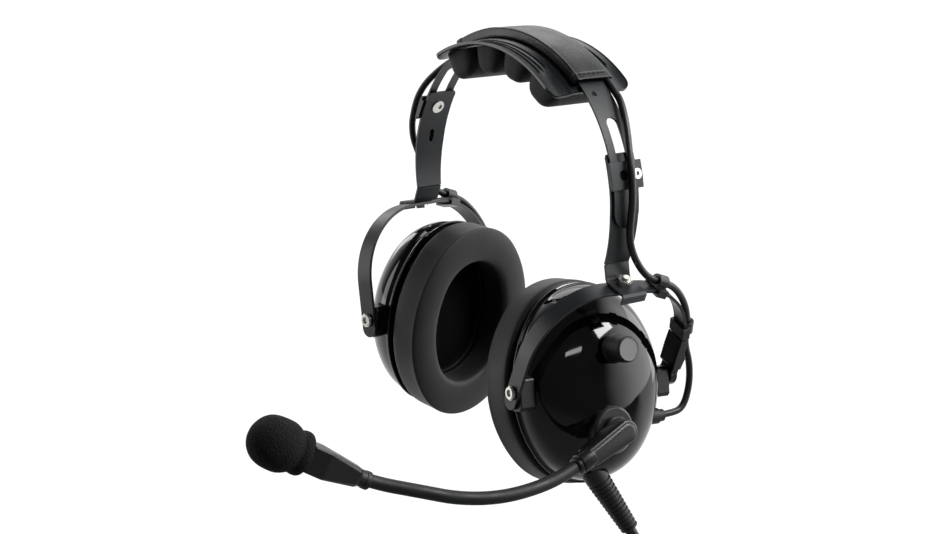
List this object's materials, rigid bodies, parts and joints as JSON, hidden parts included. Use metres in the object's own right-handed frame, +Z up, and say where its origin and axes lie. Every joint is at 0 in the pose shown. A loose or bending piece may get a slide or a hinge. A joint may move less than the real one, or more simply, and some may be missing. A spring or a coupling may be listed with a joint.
{
  "type": "aviation headset",
  "caption": "Over-ear headset with domed ear cups on bent yokes, a padded headband, a flexible microphone boom, a volume knob and a coiled cord with two plugs.",
  "frame": {"origin": "midway between the ears, at the height of the pivots that the ear cups tilt on", "axes": "+Z up towards the headband, +X to the wearer's left, where the boom is, and -Y the way the wearer faces"},
  "size_m": [0.1968, 0.2561, 0.3868],
  "materials": {
    "powder_coated_steel": "satin black powder coat",
    "bright_fastener": "bright nickel plate",
    "gloss_shell": "polished black shell",
    "satin_plastic": "satin black moulding",
    "saddle_plastic": "fine-grained dark moulding",
    "seal_skin": "smooth synthetic leather",
    "sleeve_vinyl": "grained vinyl, sewn",
    "dark_foam": "open-cell foam",
    "pad_foam": "covered foam blocks",
    "black_rubber": "matt rubber",
    "cable_jacket": "satin cable jacket",
    "knob_plastic": "black knob with a grey face",
    "speaker_metal": "plated loudspeaker frame",
    "plug_metal": "nickel-plated plug",
    "strap_fabric": "hook-and-loop strap"
  },
  "bodies": {
    "headband": {"headband_spring": "powder_coated_steel", "sleeve_wrap": "sleeve_vinyl", "saddle_plate": "saddle_plastic", "foam_block_1": "pad_foam", "foam_block_2": "pad_foam", "foam_block_3": "pad_foam", "foam_block_4": "pad_foam", "lead_in_sleeve": "cable_jacket"},
    "left_arm": {"left_slide_arm": "powder_coated_steel", "left_clamp_plate": "powder_coated_steel", "left_arm_fasteners": "bright_fastener", "left_lead_slide_span": "cable_jacket", "left_lead_foot_span": "cable_jacket"},
    "right_arm": {"right_slide_arm": "powder_coated_steel", "right_clamp_plate": "powder_coated_steel", "right_arm_fasteners": "bright_fastener", "right_lead_slide_span": "cable_jacket", "right_lead_foot_span": "cable_jacket"},
    "left_yoke": {"left_yoke": "powder_coated_steel", "left_yoke_fittings": "satin_plastic", "left_lead_cup_span": "cable_jacket"},
    "right_yoke": {"right_yoke": "powder_coated_steel", "right_yoke_fittings": "satin_plastic", "right_lead_cup_span": "cable_jacket"},
    "left_cup": {"left_cup_shell": "gloss_shell", "left_baffle_plate": "satin_plastic", "left_ear_seal": "seal_skin", "left_ear_foam": "dark_foam", "left_speaker": "speaker_metal", "left_pivot_screws": "bright_fastener", "left_lead_grommet": "black_rubber", "volume_control": "speaker_metal", "boom_boss": "satin_plastic", "strain_relief": "black_rubber", "cord_drop": "cable_jacket", "cord_coil": "cable_jacket", "cord_ties": "strap_fabric", "cord_splitter": "satin_plastic", "phone_tail": "cable_jacket", "mic_tail": "cable_jacket", "phone_plug": "plug_metal", "mic_plug": "plug_metal"},
    "right_cup": {"right_cup_shell": "gloss_shell", "right_baffle_plate": "satin_plastic", "right_ear_seal": "seal_skin", "right_ear_foam": "dark_foam", "right_speaker": "speaker_metal", "right_pivot_screws": "bright_fastener", "right_lead_grommet": "black_rubber"},
    "volume_dial": {"volume_knob": "knob_plastic", "volume_shaft": "bright_fastener"},
    "boom": {"boom_knuckle": "satin_plastic", "boom_retainer": "bright_fastener", "gooseneck_root": "black_rubber", "gooseneck_bend": "black_rubber"},
    "boom_tip": {"gooseneck_tip": "black_rubber", "mic_ferrule": "satin_plastic", "mic_housing": "satin_plastic", "mic_capsule": "speaker_metal", "mic_muff": "dark_foam"}
  },
  "joints": [
    {"name": "left_arm_slide", "type": "hinge", "parent": "headband", "child": "left_arm", "pos_m": [0, 0, 0.085], "axis": [0, 1, 0], "range_deg": [-12, 12], "deforming": ["left_lead_slide_span"]},
    {"name": "right_arm_slide", "type": "hinge", "parent": "headband", "child": "right_arm", "pos_m": [0, 0, 0.085], "axis": [0, -1, 0], "range_deg": [-12, 12], "deforming": ["right_lead_slide_span"]},
    {"name": "left_yoke_swivel", "type": "hinge", "parent": "left_arm", "child": "left_yoke", "pos_m": [0.0654, 0, 0], "axis": [0.274, 0, 0.9617], "range_deg": [-3, 17], "deforming": ["left_lead_foot_span"]},
    {"name": "right_yoke_swivel", "type": "hinge", "parent": "right_arm", "child": "right_yoke", "pos_m": [-0.0654, 0, 0], "axis": [0.274, 0, -0.9617], "range_deg": [-3, 17], "deforming": ["right_lead_foot_span"]},
    {"name": "left_cup_tilt", "type": "hinge", "parent": "left_yoke", "child": "left_cup", "pos_m": [0.0654, 0, 0], "axis": [-0.1172, -0.9925, 0.0334], "range_deg": [-38.6, 7.4], "deforming": ["left_lead_cup_span"]},
    {"name": "right_cup_tilt", "type": "hinge", "parent": "right_yoke", "child": "right_cup", "pos_m": [-0.0654, 0, 0], "axis": [-0.1172, 0.9925, -0.0334], "range_deg": [-21.9, 24.1], "deforming": ["right_lead_cup_span"]},
    {"name": "volume_turn", "type": "hinge", "parent": "left_cup", "child": "volume_dial", "pos_m": [0.08092, -0.00253, 0.02411], "axis": [0.9518, -0.1027, 0.2891], "range_deg": [-150, 150]},
    {"name": "boom_swing", "type": "hinge", "parent": "left_cup", "child": "boom", "pos_m": [0.09451, -0.00892, -0.01323], "axis": [0.9518, -0.1027, 0.2891], "range_deg": [-60, 195]},
    {"name": "boom_flex", "type": "hinge", "parent": "boom", "child": "boom_tip", "pos_m": [0.09538, -0.09371, -0.02994], "axis": [-0.2835, 0.0657, 0.9567], "range_deg": [-20, 20], "deforming": ["gooseneck_bend"]}
  ]
}
